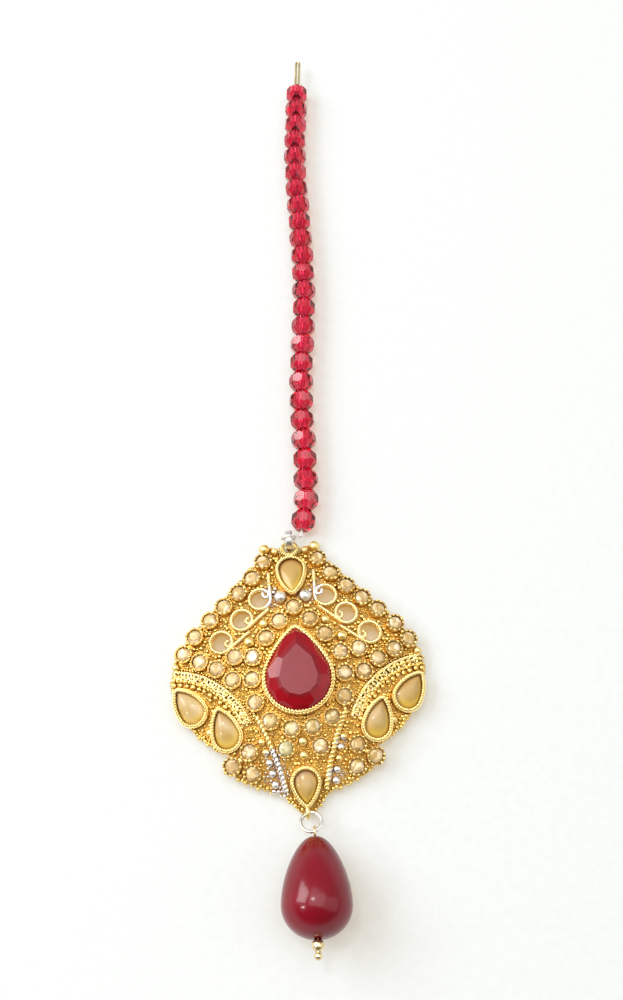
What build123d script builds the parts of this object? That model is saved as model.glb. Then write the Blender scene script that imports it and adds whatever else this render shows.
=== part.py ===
from build123d import *
from itertools import combinations
from math import acos, atan2, cos, degrees, hypot, radians, sin, sqrt, tan
import os

# A maang tikka: a hair ornament of glass beads, a domed jewelled pendant and a drop.
# It lies face up on a flat surface, with the bead string along +Y and the drop along -Y.
# All sizes are millimetres.

# ---------------------------------------------------------------- driving dimensions

# pendant: its own frame has +Y towards the bead string, and leans a little on the surface
PENDANT_Y = -38.95          # the pendant's centre in the part's frame
PENDANT_LEAN = 4.2          # degrees, anticlockwise in plan
DOME_R = 70.0               # the plate is part of a sphere
DOME_TOP = 3.55             # height of the plate's face at the pendant's centre
PLATE_THICK = 0.9
DOME_CENTRE_Z = DOME_TOP - DOME_R

# round stones and their cups
STONE_R = 1.12
STONE_CROWN = 0.45
STONE_BACK = 0.60
SEAT_GAP = 0.06             # clearance between a stone and its cup
CUP_R = 1.38
CUP_RISE = 0.95             # height of a cup's lip over the plate's face
CUP_ROOT = 0.55             # depth of a cup's foot below the plate's face

# pear stones: (round end's radius, tip's radius, distance between their centres)
RUBY = (4.95, 0.6, 6.95)
RUBY_TABLE = 1.75           # over the girdle
RUBY_BACK = 1.5             # below the girdle
RUBY_SIDES = 12
RUBY_FACETS = (             # half step round, tilt, inset from the outline, height
    (0.0, 0.0, 0.0, 0.0),
    (0.5, 0.0, 0.0, 0.0),
    (0.0, 38.0, 0.0, 0.26),
    (0.5, 62.0, 0.9, 1.11),
    (0.5, -55.0, 0.0, -0.61),
)
FACET_ROOM = 0.08           # facets' corners stay inside the bezel
LONG_PEAR = (1.93, 0.35, 3.7)
MID_PEAR = (2.0, 0.35, 3.8)
SHORT_PEAR = (1.85, 0.35, 2.9)
CABOCHON_GIRDLE = 0.55
CABOCHON_TOP = 1.35
FLANK_RATIO = 3.0           # radius of a pear's flank over its round end's radius
BEZEL_WALL = 0.45
BEZEL_RISE = 1.1
PEAR_FLOOR = 0.25           # a pear's seat over the plate's face
RUBY_RISE = 1.9
RUBY_FLOOR = 0.10
RUBY_SEAT_GAP = 0.05        # under the big stone

# bead string
BEAD_COUNT = 25
BEAD_R = 2.0
BEAD_HALF_LENGTH = 1.72
BEAD_PITCH = 3.56
BEAD_FACET = 0.93           # facets' distance from the middle over the radius
BEAD_BORE_R = 0.45
THREAD_R = 0.22
KNOT_R = 0.98               # loop of thread round the top ring
BEAD_SPIN = 17.0            # degrees that each bead is turned on from the last
FIRST_BORE_R = 0.62         # the first bead also takes the hair loop's two legs

# hair loop
LOOP_WIRE_R = 0.23
LOOP_HALF_GAP = 0.31        # from the loop's middle line to each leg's
LOOP_REACH = 6.2            # from the first bead's end to the loop's tip
LOOP_LEG_START = 0.3        # where the legs end, up from the first bead's middle

# rings and the eyes that hold them
RING_WIRE_R = 0.25
TOP_RING_R = 1.40           # radius to the wire's centre
TOP_RING_WIDTH = 1.15       # the top ring is wound double
TOP_EYE = (0.0, 19.95)      # in the pendant's frame
TOP_EYE_LIFT = 0.75         # over the plate's face
TOP_EYE_SEAM = 45.0         # degrees that the eye's seam is turned, off the ring
TOP_EYE_R = 1.22
TOP_EYE_WIRE_R = 0.30
BOTTOM_EYE = (0.0, -20.45)
BOTTOM_EYE_Z = 1.50
BOTTOM_EYE_R = 0.80
BOTTOM_EYE_WIRE_R = 0.30
RING_PLAY = 0.15            # how far a ring's wire lies off the middle of an eye

# drop: a teardrop bead that lies on its flank
DROP_BELLY = (2.78, -72.28)  # plan place of its widest section
DROP_R = 5.0
DROP_TOP = 9.5              # from the widest section to the neck's end
DROP_BASE = 4.55            # from the widest section to the round end
DROP_FULLNESS = (0.45, 0.48)  # how far the flank keeps its width, and the neck its height
DROP_DIP = 14.0             # degrees that the neck points down
DROP_TURN = 1.6             # degrees, in plan
DROP_BORE_R = 0.55
PIN_R = 0.28
PIN_LOOP_R = 0.70
PIN_LOOP_WIRE_R = 0.20
END_BEAD_R = 0.88
END_BEAD_LENGTH = 1.5
PIN_HEAD_R = 0.58
PIN_CLEAR = 0.08            # round the pin in the end bead, and over that bead
HEAD_CLEAR = 0.06
NECK_CLEAR = 0.12           # from the drop's neck to the pin's loop

# ---------------------------------------------------------------- tables of places
# Each row is the right-hand one of a mirrored pair, in the pendant's frame: (x, y).

EDGE_STONES = (
    (4.25, 18.10), (6.12, 15.40), (8.30, 13.10), (10.62, 11.00),
    (12.82, 8.98), (15.25, 6.62), (17.05, 4.10),
)
FIELD_STONES = (
    (2.30, 7.85), (4.45, 5.35), (6.55, 2.45), (6.90, -0.85),
    (6.60, -4.35), (4.55, -7.20), (1.58, -8.50),
    (9.30, 2.85), (9.80, -0.70), (12.10, 1.20), (14.65, 2.60),
    (2.55, -11.30), (7.95, -11.30), (7.60, -14.40), (10.50, -13.10),
)
CENTRE_STONES = ((0.0, 9.95),)

# pear cabochons: name, round end's centre x, y, direction of the tip, sizes
CABOCHONS = (
    ("cabochon_top", 0.0, 16.25, -90.0, MID_PEAR),
    ("cabochon_bottom", 0.0, -16.10, -90.0, SHORT_PEAR),
    ("cabochon_right_outer", 15.90, -4.80, 54.0, LONG_PEAR),
    ("cabochon_right_inner", 10.95, -8.85, 74.0, LONG_PEAR),
    ("cabochon_left_outer", -15.90, -4.80, 126.0, LONG_PEAR),
    ("cabochon_left_inner", -10.95, -8.85, 106.0, LONG_PEAR),
)

RUBY_PLACE = (0.0, -1.4, 90.0)

# scrolls: eye's centre x, y, eye's radius, direction of the stem, stem's length
SCROLLS = (
    (5.05, 11.75, 1.65, -92.0, 4.3),
    (8.00, 8.60, 1.62, -40.0, 4.1),
    (11.30, 5.35, 1.68, -37.0, 4.3),
)
SCROLL_WIRE = 0.45

# balls: x, y, radius
PAIRED_BALLS = (
    (1.88, 11.75, 0.98),
    (3.97, 20.45, 0.85), (2.35, 19.95, 0.62),
    (7.00, 4.90, 0.85), (4.70, 7.65, 0.72),
    (6.05, -10.10, 0.62), (5.55, -11.60, 0.62), (5.12, -13.15, 0.62),
    (4.75, -14.65, 0.62), (4.45, -16.20, 0.62),
)
CENTRE_BALLS = ((0.0, -10.45, 0.78), (0.0, -12.40, 0.74))
BALL_LIFT = 0.55            # a ball's centre over the plate, as a share of its radius
BALL_SEAM = 20.0            # degrees that a ball's seam is turned, clear of the wires
CORNER_BALLS = ((13.6, -8.0, 0.62), (9.3, -12.4, 0.55), (18.4, 2.3, 0.62))

# curved strips: first, middle and last point
ROPE_ARC = ((6.75, -6.10), (4.55, -11.20), (2.90, -17.30))
ROPE_WIDTH = 0.85
BAND_ARC = ((18.60, 0.95), (13.00, -1.15), (8.05, -7.50))
BAND_HALF = 0.62            # from the band's middle line to each of its two wires
BAND_WIRE = 0.45
BAND_BALLS = 10
BAND_BALL_R = 0.36
RELIEF_RISE = 0.40          # height of wires and strips over the plate

# outline of the plate: straight run down the stones' edge, round lobe, notch, tip
SHOULDER = (
    (0.0, 19.7), (1.6, 19.7), (2.5, 20.7), (4.2, 20.8),
    (4.9, 18.7), (17.7, 4.9), (18.7, 2.2), (19.1, 0.3),
)
LOBE_MIDDLE = (16.95, -6.35)
LOBE_END = (10.85, -11.55)
SKIRT = ((11.4, -13.1), (9.9, -14.9), (6.8, -16.5), (4.7, -17.2), (3.3, -17.8), (1.0, -20.3))

# route of the thread, from the first bead's centre to below the last bead
THREAD_ROUTE = (
    (-0.75, 71.2), (-1.12, 56.2), (-0.18, 43.6), (0.86, 28.8),
    (0.18, 8.7), (0.88, -2.3), (1.28, -10.6), (0.38, -16.8),
)
THREAD_RUN_SHARE = 0.45     # share of a run that a corner's arc may use

# pierced gaps
GAP_COUNT = 60
GAP_SMALLEST = 0.36
GAP_LARGEST = 0.80
GAP_MARGIN = 0.18
GAP_GRID = 0.3              # spacing of the places that are tried
GAP_RIM = 0.45              # metal left to the plate's rim
GAP_WEB = 0.35              # metal left between two gaps
GAP_MIDDLE = 0.2            # half the metal left between a gap and its twin
GAP_FIELD = (19.0, -20.0, 40.0)  # half width, foot and height of the ground that is searched

# counts and lengths for working out shapes
RIM_SAMPLES = 240
STRIP_SAMPLES = 14
PEAR_SAMPLES = 6
PEAR_TAPER = 1.6            # how a pear's half width falls off along its axis
FLANK_SAMPLES = 100
THROUGH = 20.0              # longer than anything that a tool cuts through
TOUCH = 1e-4                # nearer than this, two corners are one

# ---------------------------------------------------------------- the dome


def dome_z(x, y):
    """Height of the plate's face over a place in plan."""
    return DOME_CENTRE_Z + sqrt(DOME_R**2 - x**2 - y**2)


def on_dome(x, y, turn=0.0, lift=0.0):
    """Frame on the dome: z straight out of it, x turned by `turn` degrees in plan."""
    out = Vector(x, y, dome_z(x, y) - DOME_CENTRE_Z).normalized()
    along = Vector(cos(radians(turn)), sin(radians(turn)), 0)
    along = (along - out * along.dot(out)).normalized()
    place = Vector(x, y, dome_z(x, y)) + out * lift
    return Plane(origin=place, x_dir=along, z_dir=out).location


def ball_of_radius(radius):
    """Sphere about the dome's centre."""
    return Pos(0, 0, DOME_CENTRE_Z) * Sphere(radius)


def mirrored(places):
    """Each place and its twin on the left."""
    return [(side * x, *rest) for x, *rest in places for side in (1, -1)]


# ---------------------------------------------------------------- cut and domed stones


def faceted(planes):
    """Solid bounded by flat facets, each given as (outward unit vector, distance)."""
    corners = []
    for (n1, d1), (n2, d2), (n3, d3) in combinations(planes, 3):
        volume = n1.dot(n2.cross(n3))
        if abs(volume) < TOUCH**2:
            continue
        corner = (n2.cross(n3) * d1 + n3.cross(n1) * d2 + n1.cross(n2) * d3) / volume
        inside = all(n.dot(corner) < d + TOUCH / 10 for n, d in planes)
        if inside and all((corner - other).length > TOUCH for other in corners):
            corners.append(corner)
    faces = []
    for normal, distance in planes:
        rim = [c for c in corners if abs(normal.dot(c) - distance) < TOUCH]
        if len(rim) < 3:
            continue
        middle = sum(rim, Vector(0, 0, 0)) / len(rim)
        side = (rim[0] - middle).normalized()
        other_side = normal.cross(side)
        rim.sort(key=lambda c: atan2((c - middle).dot(other_side), (c - middle).dot(side)))
        faces.append(Face(Wire.make_polygon(rim)))
    return Solid(Shell(faces))


def facet(turn, tilt, distance):
    """Facet that faces `turn` degrees round the axis and `tilt` degrees up from the girdle."""
    turn, tilt = radians(turn), radians(tilt)
    return (Vector(cos(turn) * cos(tilt), sin(turn) * cos(tilt), sin(tilt)), distance)


def round_stone():
    """Brilliant with a table, eight crown facets and a blunt eight-sided back."""
    planes = [(Vector(0, 0, 1), STONE_CROWN), (Vector(0, 0, -1), STONE_BACK)]
    for step in range(8):
        turn = 45.0 * step
        planes.append(facet(turn, 45.0, STONE_R * cos(radians(45.0))))
        planes.append(facet(turn + 22.5, -42.0, STONE_R * cos(radians(42.0))))
    return faceted(planes)


def bead(bore):
    """Nearly round bead with three rings of eight facets and flat drilled ends."""
    planes = [(Vector(0, 0, 1), BEAD_HALF_LENGTH), (Vector(0, 0, -1), BEAD_HALF_LENGTH)]
    for step in range(8):
        turn = 45.0 * step
        planes.append(facet(turn, 0.0, BEAD_R * BEAD_FACET))
        planes.append(facet(turn + 22.5, 40.0, BEAD_R * BEAD_FACET))
        planes.append(facet(turn + 22.5, -40.0, BEAD_R * BEAD_FACET))
    return faceted(planes) - Cylinder(bore, THROUGH)


def pear_curve(pear, grow=0.0):
    """Round end's, tip's and flank's radii, and the flank arc's centre below the axis."""
    end, tip, apart = pear
    flank = FLANK_RATIO * end
    centre_x = ((flank - end)**2 - (flank - tip)**2 + apart**2) / (2 * apart)
    centre_y = -sqrt((flank - end)**2 - centre_x**2)
    return end + grow, tip + grow, flank + grow, Vector(centre_x, centre_y, 0)


def pear_face(pear, grow=0.0):
    """Pear outline from four tangent arcs, round end at the origin, tip towards +X."""
    end, tip, flank, centre = pear_curve(pear, grow)
    tip_centre = Vector(pear[2], 0, 0)
    at_end = centre.normalized() * -end
    at_tip = tip_centre + (tip_centre - centre).normalized() * tip
    middle = centre + ((at_end + at_tip) / 2 - centre).normalized() * flank
    low_end, low_tip, low_middle = (Vector(p.X, -p.Y, 0) for p in (at_end, at_tip, middle))
    return make_face([
        ThreePointArc(at_end, middle, at_tip),
        ThreePointArc(at_tip, tip_centre + Vector(tip, 0, 0), low_tip),
        ThreePointArc(low_tip, low_middle, low_end),
        ThreePointArc(low_end, Vector(-end, 0, 0), at_end),
    ])


def pear_reach(pear, turn):
    """How far the pear reaches in a direction: the largest reach of its arcs."""
    end, tip, apart = pear
    flank, centre = pear_curve(pear)[2:]
    c, s = cos(radians(turn)), sin(radians(turn))
    edge = centre if s > 0 else Vector(centre.X, -centre.Y, 0)
    at_end, at_tip = edge * -1, Vector(apart, 0, 0) - edge
    bearing = abs(degrees(atan2(s, c)))
    first = abs(degrees(atan2(at_end.Y, at_end.X)))
    last = abs(degrees(atan2(at_tip.Y, at_tip.X)))
    if bearing > first:
        return end
    if bearing < last:
        return apart * c + tip
    return edge.X * c + edge.Y * s + flank


def ruby_stone():
    """Pear-cut stone: table, girdle, two rings of crown facets and a bevelled back."""
    planes = [(Vector(0, 0, 1), RUBY_TABLE), (Vector(0, 0, -1), RUBY_BACK)]
    for half_step, tilt, inset, height in RUBY_FACETS:
        for step in range(RUBY_SIDES):
            turn = 360.0 / RUBY_SIDES * (step + half_step)
            reach = pear_reach(RUBY, turn) - FACET_ROOM - inset
            distance = reach * cos(radians(tilt)) + height * sin(radians(tilt))
            planes.append(facet(turn, tilt, distance))
    return faceted(planes)


def cabochon(pear):
    """Pear cabochon: an upright girdle under a low dome."""
    half_length = sum(pear) / 2
    rise = CABOCHON_TOP - CABOCHON_GIRDLE
    bulge = (half_length**2 + rise**2) / (2 * rise)
    middle = pear[2] + pear[1] - half_length
    blank = extrude(pear_face(pear), CABOCHON_TOP)
    return blank & (Pos(middle, 0, CABOCHON_TOP - bulge) * Sphere(bulge))


# ---------------------------------------------------------------- pendant's metal


def cup(x, y):
    """Blank of a round stone's cup."""
    height = CUP_RISE + CUP_ROOT
    return on_dome(x, y, lift=(CUP_RISE - CUP_ROOT) / 2) * Cylinder(CUP_R, height)


def cup_pocket(x, y):
    """Space that a round stone takes out of its cup, open at the top."""
    return on_dome(x, y, lift=CUP_RISE) * Cylinder(STONE_R + SEAT_GAP, 2 * CUP_RISE)


def pear_block(x, y, turn, pear, grow, low, high):
    """Pear prism that stands on the dome between two heights."""
    return on_dome(x, y, turn, low) * extrude(pear_face(pear, grow), high - low)


def arc_strip(points, width, shift=0.0):
    """Flat strip along an arc through three points, moved sideways by `shift`."""
    arc = ThreePointArc(*points)
    centre = arc.arc_center
    start, middle, end = (Vector(*p) - centre for p in points)

    def at(ray, offset):
        return centre + ray.normalized() * (arc.radius + shift + offset)

    half = width / 2
    return make_face([
        ThreePointArc(at(start, half), at(middle, half), at(end, half)),
        Line(at(end, half), at(end, -half)),
        ThreePointArc(at(end, -half), at(middle, -half), at(start, -half)),
        Line(at(start, -half), at(start, half)),
    ])


def arc_points(points, count):
    """Evenly spaced places along an arc through three points."""
    arc = ThreePointArc(*points)
    return [arc @ ((step + 0.5) / count) for step in range(count)]


def flipped(points):
    """The same points on the pendant's left."""
    return tuple((-x, y) for x, y in points)


def scroll(x, y, eye_r, turn, stem):
    """Ring with a straight stem that runs into it along its tangent."""
    side = 1 if x > 0 else -1
    heading = turn if side > 0 else 180 - turn
    foot = heading - 90 * side
    touch = Vector(x, y, 0) + Vector(cos(radians(foot)), sin(radians(foot)), 0) * eye_r
    back = Vector(cos(radians(heading)), sin(radians(heading)), 0) * (-stem / 2)
    ring = Circle(eye_r + SCROLL_WIRE / 2) - Circle(eye_r - SCROLL_WIRE / 2)
    bar = Pos(touch + back) * Rot(0, 0, heading) * Rectangle(stem, SCROLL_WIRE)
    return [Pos(x, y) * ring, bar]


def relief():
    """Wires and strips that stand out of the plate, cut to one height over the dome."""
    flats = []
    for x, y, eye_r, turn, stem in mirrored(SCROLLS):
        flats += scroll(x, y, eye_r, turn, stem)
    for points in (ROPE_ARC, flipped(ROPE_ARC)):
        flats.append(arc_strip(points, ROPE_WIDTH))
    for points in (BAND_ARC, flipped(BAND_ARC)):
        flats.append(arc_strip(points, BAND_WIRE, BAND_HALF))
        flats.append(arc_strip(points, BAND_WIRE, -BAND_HALF))
    prisms = [extrude(flat, 2 * DOME_TOP) for flat in flats]
    shell = ball_of_radius(DOME_R + RELIEF_RISE) - ball_of_radius(DOME_R - PLATE_THICK / 2)
    return [prism & shell for prism in prisms]


def plate_outline():
    """Plan of the plate, its right half mirrored to the left."""
    right = [
        Polyline(*SHOULDER),
        ThreePointArc(SHOULDER[-1], LOBE_MIDDLE, LOBE_END),
        Polyline(LOBE_END, *SKIRT, (0, SKIRT[-1][1])),
        Line((0, SKIRT[-1][1]), SHOULDER[0]),
    ]
    half = make_face(right)
    return half + mirror(half, about=Plane.YZ)


def plate():
    """Domed plate, trimmed flat where its rim meets the surface."""
    blank = extrude(plate_outline(), 2 * DOME_TOP)
    shell = ball_of_radius(DOME_R) - ball_of_radius(DOME_R - PLATE_THICK)
    return blank & shell


def balls():
    """Grains soldered on: (x, y, radius) of every one."""
    rows = mirrored(PAIRED_BALLS) + mirrored(CORNER_BALLS) + list(CENTRE_BALLS)
    for points in (BAND_ARC, flipped(BAND_ARC)):
        rows += [(p.X, p.Y, BAND_BALL_R) for p in arc_points(points, BAND_BALLS)]
    return rows


def round_seats():
    """Places of every round stone."""
    return mirrored(EDGE_STONES) + mirrored(FIELD_STONES) + list(CENTRE_STONES)


def taken_ground():
    """Circles (x, y, radius) that cover all that stands on the plate."""
    taken = [(x, y, CUP_R) for x, y in round_seats()] + balls()
    taken.append((*TOP_EYE, TOP_EYE_R + TOP_EYE_WIRE_R))
    taken.append((*BOTTOM_EYE, BOTTOM_EYE_R))
    for x, y, eye_r, turn, stem in mirrored(SCROLLS):
        taken.append((x, y, eye_r + SCROLL_WIRE / 2))
    for points in (ROPE_ARC, flipped(ROPE_ARC)):
        taken += [(p.X, p.Y, ROPE_WIDTH / 2) for p in arc_points(points, STRIP_SAMPLES)]
    for points in (BAND_ARC, flipped(BAND_ARC)):
        places = arc_points(points, STRIP_SAMPLES)
        taken += [(p.X, p.Y, BAND_HALF + BAND_WIRE / 2) for p in places]
    pears = [row[1:] for row in CABOCHONS] + [(*RUBY_PLACE, RUBY)]
    for x, y, turn, (end, tip, apart) in pears:
        for step in range(PEAR_SAMPLES):
            share = step / (PEAR_SAMPLES - 1)
            radius = end + (tip - end) * share**PEAR_TAPER + BEZEL_WALL
            reach = apart * share
            taken.append((x + reach * cos(radians(turn)), y + reach * sin(radians(turn)), radius))
    return taken


def free_gaps():
    """Circles of bare plate, largest first, that are cut through as pierced work."""
    outline = plate_outline().faces()[0]
    rim = outline.outer_wire()
    rim_points = [rim @ (step / RIM_SAMPLES) for step in range(RIM_SAMPLES)]
    taken = taken_ground()
    spots = []
    half_width, foot, height = GAP_FIELD
    for row in range(int(height / GAP_GRID)):
        for column in range(int(half_width / GAP_GRID) + 1):
            x, y = column * GAP_GRID, foot + row * GAP_GRID
            room = min(hypot(x - a, y - b) - r for a, b, r in taken)
            if room < GAP_SMALLEST + GAP_MARGIN:
                continue
            edge = min(hypot(x - p.X, y - p.Y) for p in rim_points)
            room = min(room, edge - GAP_RIM)
            inside = outline.is_inside(Vector(x, y, 0))
            if room > GAP_SMALLEST + GAP_MARGIN and inside:
                spots.append((min(room - GAP_MARGIN, GAP_LARGEST), x, y))
    spots.sort(reverse=True)
    chosen = []
    for radius, x, y in spots:
        clear = all(hypot(x - a, y - b) > radius + r + GAP_WEB for a, b, r in chosen)
        off_middle = x > radius + GAP_MIDDLE or x == 0
        if clear and off_middle and len(chosen) < GAP_COUNT // 2:
            chosen.append((x, y, radius))
    return [row for row in mirrored(chosen) if row[0] != 0] + [r for r in chosen if r[0] == 0]


def eye_ring(place, ring_r, wire_r):
    """Round eye of wire."""
    return place * Torus(ring_r, wire_r)


def top_eye_place():
    """The top eye lies along the dome."""
    return on_dome(*TOP_EYE, TOP_EYE_SEAM, TOP_EYE_LIFT)


def bottom_eye_place():
    """The bottom eye stands on edge, its hole facing sideways."""
    return Location((*BOTTOM_EYE, BOTTOM_EYE_Z), (0, 90, 0))


def pendant_mount():
    """The pendant's metal as one soldered solid, in the pendant's frame."""
    ruby_seat = (*RUBY_PLACE, RUBY)
    bezels = [pear_block(*ruby_seat, BEZEL_WALL, -CUP_ROOT, RUBY_RISE)]
    pockets = [pear_block(*ruby_seat, SEAT_GAP, RUBY_FLOOR, THROUGH)]
    for name, *seat in CABOCHONS:
        bezels.append(pear_block(*seat, BEZEL_WALL, -CUP_ROOT, BEZEL_RISE))
        pockets.append(pear_block(*seat, SEAT_GAP, PEAR_FLOOR, THROUGH))
    grains = []
    for x, y, radius in balls():
        seam = BALL_SEAM if x < 0 else 180.0 - BALL_SEAM
        grains.append(on_dome(x, y, seam, radius * BALL_LIFT) * Sphere(radius))
    eyes = [
        eye_ring(top_eye_place(), TOP_EYE_R, TOP_EYE_WIRE_R),
        eye_ring(bottom_eye_place(), BOTTOM_EYE_R, BOTTOM_EYE_WIRE_R),
    ]
    metal = plate().fuse(*bezels).fuse(*[cup(x, y) for x, y in round_seats()])
    metal = metal.fuse(*relief()).fuse(*grains).fuse(*eyes)
    metal = metal.cut(*[cup_pocket(x, y) for x, y in round_seats()]).cut(*pockets)
    holes = [(x, y, eye_r - SCROLL_WIRE / 2) for x, y, eye_r, turn, stem in mirrored(SCROLLS)]
    holes += free_gaps()
    metal = metal.cut(*[Pos(x, y, 0) * Cylinder(r, THROUGH) for x, y, r in holes])
    return metal.cut(Pos(0, 0, -THROUGH / 2) * Box(3 * THROUGH, 3 * THROUGH, THROUGH))


# ---------------------------------------------------------------- place in the part's frame

PENDANT = Location((0, PENDANT_Y, 0), (0, 0, PENDANT_LEAN))
nodes = {}

nodes["pendant_mount"] = PENDANT * pendant_mount()
ruby_lift = RUBY_FLOOR + RUBY_SEAT_GAP + RUBY_BACK
nodes["ruby_stone"] = PENDANT * (on_dome(*RUBY_PLACE, ruby_lift) * ruby_stone())
for name, x, y, turn, pear in CABOCHONS:
    nodes[name] = PENDANT * (on_dome(x, y, turn, PEAR_FLOOR + SEAT_GAP) * cabochon(pear))


def stone_field(places):
    """Loose round stones, each seated in its cup."""
    stone = round_stone()
    lift = STONE_BACK + SEAT_GAP
    return Compound([PENDANT * (on_dome(x, y, lift=lift) * stone) for x, y in places])


nodes["edge_stones"] = stone_field(mirrored(EDGE_STONES))
nodes["field_stones"] = stone_field(mirrored(FIELD_STONES) + list(CENTRE_STONES))

# ---------------------------------------------------------------- bead string


def tangent_arc_route(points):
    """Straight runs joined by tangent arcs as large as the runs allow."""
    runs = [b - a for a, b in zip(points, points[1:])]
    radii = []
    for before, after in zip(runs, runs[1:]):
        half_turn = radians(before.get_angle(after)) / 2
        radii.append(THREAD_RUN_SHARE * min(before.length, after.length) / tan(half_turn))
    print("thread radii", [round(r, 1) for r in radii])
    return FilletPolyline(*points, radius=radii)


string_path = tangent_arc_route([Vector(x, y, BEAD_R) for x, y in THREAD_ROUTE])


def along_string(distance):
    """Frame at a distance down the string from the first bead's centre, z along it."""
    share = distance / string_path.length
    return Plane(origin=string_path @ share, x_dir=(0, 0, 1), z_dir=string_path % share).location


for number in range(BEAD_COUNT):
    bore = FIRST_BORE_R if number == 0 else BEAD_BORE_R
    spin = Rot(0, 0, BEAD_SPIN * number)
    nodes[f"bead_{number + 1:02d}"] = along_string(number * BEAD_PITCH) * (spin * bead(bore))

# ---------------------------------------------------------------- top ring and thread

# the ring stands on the surface and passes through the top eye's middle
top_eye = top_eye_place().position
ring_z = TOP_RING_R + RING_WIRE_R
ring_ahead = sqrt(TOP_RING_R**2 - (ring_z - top_eye.Z)**2)
top_ring_place = PENDANT * Pos(top_eye.X, top_eye.Y + ring_ahead, ring_z)
ring_section = Pos(TOP_RING_R, 0) * SlotOverall(TOP_RING_WIDTH, 2 * RING_WIRE_R, 90)
nodes["top_ring"] = top_ring_place * Rot(0, 90, 0) * revolve(Plane.XZ * ring_section, Axis.Z)


def rod(start, end, radius):
    """Straight round rod between two places."""
    run = end - start
    return Plane(origin=start, z_dir=run).location * extrude(Circle(radius), run.length)


# the thread leaves the last bead and is looped round the ring's upper wire
knot_place = top_ring_place * Pos(0, 0, TOP_RING_R) * Rot(90, 0, 0)
string_end = string_path @ 1
knot_side = (knot_place * Pos(KNOT_R, 0, 0)).position
tube = sweep(Plane(origin=string_path @ 0, z_dir=string_path % 0) * Circle(THREAD_R), path=string_path)
tail = rod(string_end, knot_side, THREAD_R)
joint = Pos(string_end) * Sphere(THREAD_R)
nodes["bead_thread"] = tube.fuse(joint, tail, knot_place * Torus(KNOT_R, THREAD_R))

# ---------------------------------------------------------------- drop and its pin

toward_neck = Vector(
    -sin(radians(DROP_TURN)) * cos(radians(DROP_DIP)),
    cos(radians(DROP_TURN)) * cos(radians(DROP_DIP)),
    -sin(radians(DROP_DIP)),
)


def drop_flank():
    """Flank of the drop from its widest section to its neck: (radius, distance)."""
    keep_width, keep_height = DROP_FULLNESS
    return Bezier(
        (DROP_R, 0), (DROP_R, keep_width * DROP_TOP),
        (keep_height * DROP_R, DROP_TOP), (DROP_BORE_R, DROP_TOP),
    )


# the drop rests on the lowest line of its dipped flank
flank = drop_flank()
flank_points = [flank @ (step / FLANK_SAMPLES) for step in range(FLANK_SAMPLES + 1)]
dip = radians(DROP_DIP)
drop_z = max(p.X * cos(dip) + p.Y * sin(dip) for p in flank_points)
turn = radians(DROP_TURN)
DROP = Plane(origin=(*DROP_BELLY, drop_z), x_dir=(cos(turn), sin(turn), 0), z_dir=toward_neck).location
base_angle = -degrees(acos(DROP_BORE_R / DROP_R))
base_end = (DROP_BORE_R, DROP_BASE * sin(radians(base_angle)))
section = make_face([
    flank,
    Line((DROP_BORE_R, DROP_TOP), base_end),
    EllipticalCenterArc((0, 0), DROP_R, DROP_BASE, base_angle, arc_size=-base_angle),
])
nodes["drop_bead"] = DROP * revolve(Plane.XZ * section, Axis.Z)

end_bead_z = -DROP_BASE - PIN_CLEAR - END_BEAD_LENGTH / 2
end_bead = Sphere(END_BEAD_R) & Cylinder(THROUGH, END_BEAD_LENGTH)
end_bead = end_bead - Cylinder(PIN_R + PIN_CLEAR, THROUGH)
nodes["drop_end_bead"] = DROP * Pos(0, 0, end_bead_z) * end_bead

loop_z = DROP_TOP + NECK_CLEAR + PIN_LOOP_R
head_z = end_bead_z - END_BEAD_LENGTH / 2 - HEAD_CLEAR - PIN_HEAD_R
stem = Pos(0, 0, (loop_z - PIN_LOOP_R + head_z) / 2) * Cylinder(PIN_R, loop_z - PIN_LOOP_R - head_z)
pin = stem.fuse(
    Pos(0, 0, loop_z) * Rot(0, 90, 0) * Torus(PIN_LOOP_R, PIN_LOOP_WIRE_R),
    Pos(0, 0, head_z) * Sphere(PIN_HEAD_R),
)
nodes["drop_pin"] = DROP * pin

# ---------------------------------------------------------------- ring between them

eye_centre = (PENDANT * bottom_eye_place()).position
loop_centre = (DROP * Pos(0, 0, loop_z)).position
link = (loop_centre - eye_centre).normalized()
near, far = eye_centre + link * RING_PLAY, loop_centre - link * RING_PLAY
drop_ring_r = (far - near).length / 2
across = link.cross(Vector(0, 0, 1)).normalized()
ring_plane = Plane(origin=(near + far) / 2, x_dir=link, z_dir=across.cross(link))
nodes["drop_ring"] = ring_plane.location * Torus(drop_ring_r, RING_WIRE_R)
print("drop ring radius", round(drop_ring_r, 3), "rise", round(link.Z, 3))

# ---------------------------------------------------------------- hair loop

# narrow U of wire: two legs in the first bead, joined by a bend at the tip
leg_end = BEAD_HALF_LENGTH + LOOP_REACH - LOOP_HALF_GAP - LOOP_WIRE_R
left, right = -LOOP_HALF_GAP, LOOP_HALF_GAP
loop_path = Wire([
    Line((left, LOOP_LEG_START), (left, leg_end)),
    ThreePointArc((left, leg_end), (0, leg_end + LOOP_HALF_GAP), (right, leg_end)),
    Line((right, leg_end), (right, LOOP_LEG_START)),
])
loop_section = Plane(origin=(left, LOOP_LEG_START, 0), z_dir=(0, 1, 0)) * Circle(LOOP_WIRE_R)
up_string = (string_path % 0) * -1
loop_place = Plane(origin=string_path @ 0, x_dir=up_string.cross(Vector(0, 0, 1)), z_dir=(0, 0, 1))
nodes["hair_loop"] = loop_place.location * sweep(loop_section, path=loop_path)

# ---------------------------------------------------------------- origin and files

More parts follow.
